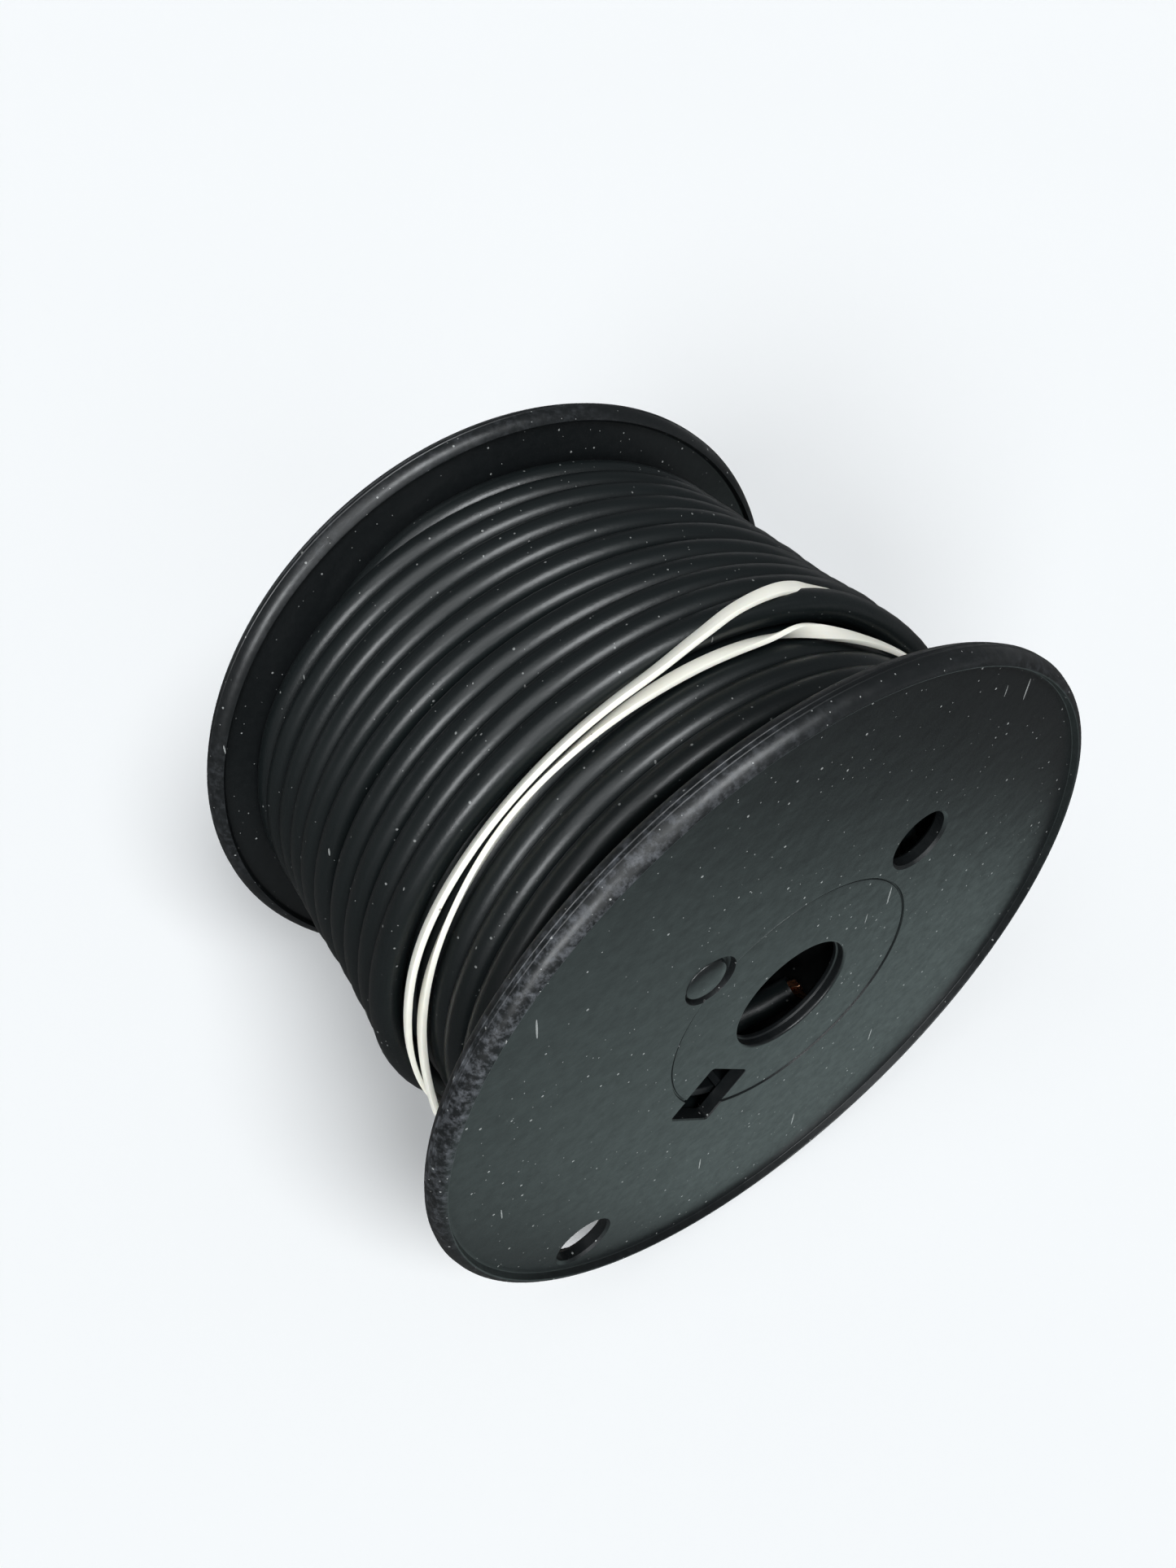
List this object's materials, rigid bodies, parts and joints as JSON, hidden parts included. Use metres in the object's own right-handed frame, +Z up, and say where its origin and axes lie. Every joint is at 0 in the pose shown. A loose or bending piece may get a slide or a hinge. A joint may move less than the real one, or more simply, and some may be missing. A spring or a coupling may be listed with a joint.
{
  "type": "wire spool",
  "caption": "Flanged plastic spool wound with layers of black insulated wire, held by a doubled rubber band.",
  "frame": {"origin": "on the spool's axis, halfway between the two flanges", "axes": "+Y along the spool's axis, from the near flange to the far flange; +Z up with the spool lying on its rims"},
  "size_m": [0.0888, 0.0608, 0.0888],
  "materials": {
    "flange_plastic": "matte charcoal moulded plastic",
    "barrel_plastic": "matte charcoal moulded plastic",
    "jacket_vinyl": "satin black vinyl",
    "bare_copper": "bright bare copper",
    "band_rubber": "cream rubber"
  },
  "bodies": {
    "root": {"near_flange": "flange_plastic", "far_flange": "flange_plastic", "barrel": "barrel_plastic", "wire_layer_1": "jacket_vinyl", "wire_layer_2": "jacket_vinyl", "wire_layer_3": "jacket_vinyl", "wire_layer_4": "jacket_vinyl", "wire_layer_5": "jacket_vinyl", "wire_layer_6": "jacket_vinyl", "wire_layer_7": "jacket_vinyl", "start_end_jacket": "jacket_vinyl", "finish_end_jacket": "jacket_vinyl", "start_end_strand_01": "bare_copper", "start_end_strand_02": "bare_copper", "start_end_strand_03": "bare_copper", "start_end_strand_04": "bare_copper", "start_end_strand_05": "bare_copper", "start_end_strand_06": "bare_copper", "start_end_strand_07": "bare_copper", "start_end_strand_08": "bare_copper", "start_end_strand_09": "bare_copper", "start_end_strand_10": "bare_copper", "start_end_strand_11": "bare_copper", "start_end_strand_12": "bare_copper", "start_end_strand_13": "bare_copper", "start_end_strand_14": "bare_copper", "start_end_strand_15": "bare_copper", "start_end_strand_16": "bare_copper", "start_end_strand_17": "bare_copper", "start_end_strand_18": "bare_copper", "start_end_strand_19": "bare_copper", "finish_end_strand_01": "bare_copper", "finish_end_strand_02": "bare_copper", "finish_end_strand_03": "bare_copper", "finish_end_strand_04": "bare_copper", "finish_end_strand_05": "bare_copper", "finish_end_strand_06": "bare_copper", "finish_end_strand_07": "bare_copper", "finish_end_strand_08": "bare_copper", "finish_end_strand_09": "bare_copper", "finish_end_strand_10": "bare_copper", "finish_end_strand_11": "bare_copper", "finish_end_strand_12": "bare_copper", "finish_end_strand_13": "bare_copper", "finish_end_strand_14": "bare_copper", "finish_end_strand_15": "bare_copper", "finish_end_strand_16": "bare_copper", "finish_end_strand_17": "bare_copper", "finish_end_strand_18": "bare_copper", "finish_end_strand_19": "bare_copper", "rubber_band": "band_rubber"}
  },
  "joints": []
}
